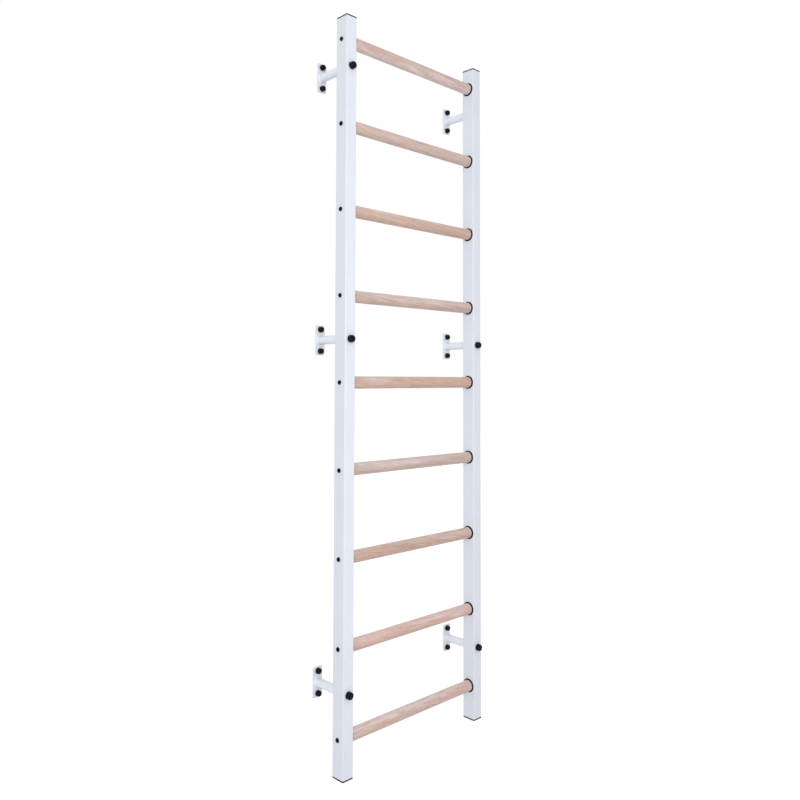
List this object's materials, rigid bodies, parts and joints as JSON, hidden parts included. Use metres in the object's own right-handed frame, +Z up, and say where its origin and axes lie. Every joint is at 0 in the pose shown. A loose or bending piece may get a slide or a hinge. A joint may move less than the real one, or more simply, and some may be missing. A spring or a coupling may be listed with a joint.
{
  "type": "swedish wall bars",
  "caption": "Tall gymnastic wall ladder: white steel box-tube uprights, round beech rungs in black bushes, and short round arms with bolted plates that hold it off the wall.",
  "frame": {"origin": "in the wall plane, at the foot of the uprights, midway between them", "axes": "+X to the right along the rungs seen from the room, +Y into the wall, +Z up"},
  "size_m": [0.63, 0.1648, 2.3],
  "materials": {
    "white_paint": "satin powder coat",
    "beech": "clear satin lacquer",
    "black_plastic": "matt moulded",
    "black_steel": "black coated bolt"
  },
  "bodies": {
    "root": {"upright_left": "white_paint", "end_cap_left_bottom": "black_plastic", "end_cap_left_top": "black_plastic", "bush_left_1": "black_plastic", "bush_left_2": "black_plastic", "bush_left_3": "black_plastic", "bush_left_4": "black_plastic", "bush_left_5": "black_plastic", "bush_left_6": "black_plastic", "bush_left_7": "black_plastic", "bush_left_8": "black_plastic", "bush_left_9": "black_plastic", "bracket_left_bottom": "white_paint", "wall_bolt_left_bottom_upper": "black_steel", "wall_bolt_left_bottom_lower": "black_steel", "bracket_bolt_left_bottom": "black_steel", "bracket_left_middle": "white_paint", "wall_bolt_left_middle_upper": "black_steel", "wall_bolt_left_middle_lower": "black_steel", "bracket_bolt_left_middle": "black_steel", "bracket_left_top": "white_paint", "wall_bolt_left_top_upper": "black_steel", "wall_bolt_left_top_lower": "black_steel", "bracket_bolt_left_top": "black_steel", "upright_right": "white_paint", "end_cap_right_bottom": "black_plastic", "end_cap_right_top": "black_plastic", "bush_right_1": "black_plastic", "bush_right_2": "black_plastic", "bush_right_3": "black_plastic", "bush_right_4": "black_plastic", "bush_right_5": "black_plastic", "bush_right_6": "black_plastic", "bush_right_7": "black_plastic", "bush_right_8": "black_plastic", "bush_right_9": "black_plastic", "bracket_right_bottom": "white_paint", "wall_bolt_right_bottom_upper": "black_steel", "wall_bolt_right_bottom_lower": "black_steel", "bracket_bolt_right_bottom": "black_steel", "bracket_right_middle": "white_paint", "wall_bolt_right_middle_upper": "black_steel", "wall_bolt_right_middle_lower": "black_steel", "bracket_bolt_right_middle": "black_steel", "bracket_right_top": "white_paint", "wall_bolt_right_top_upper": "black_steel", "wall_bolt_right_top_lower": "black_steel", "bracket_bolt_right_top": "white_paint", "rung_1": "beech", "rung_2": "beech", "rung_3": "beech", "rung_4": "beech", "rung_5": "beech", "rung_6": "beech", "rung_7": "beech", "rung_8": "beech", "rung_9": "beech"}
  },
  "joints": []
}
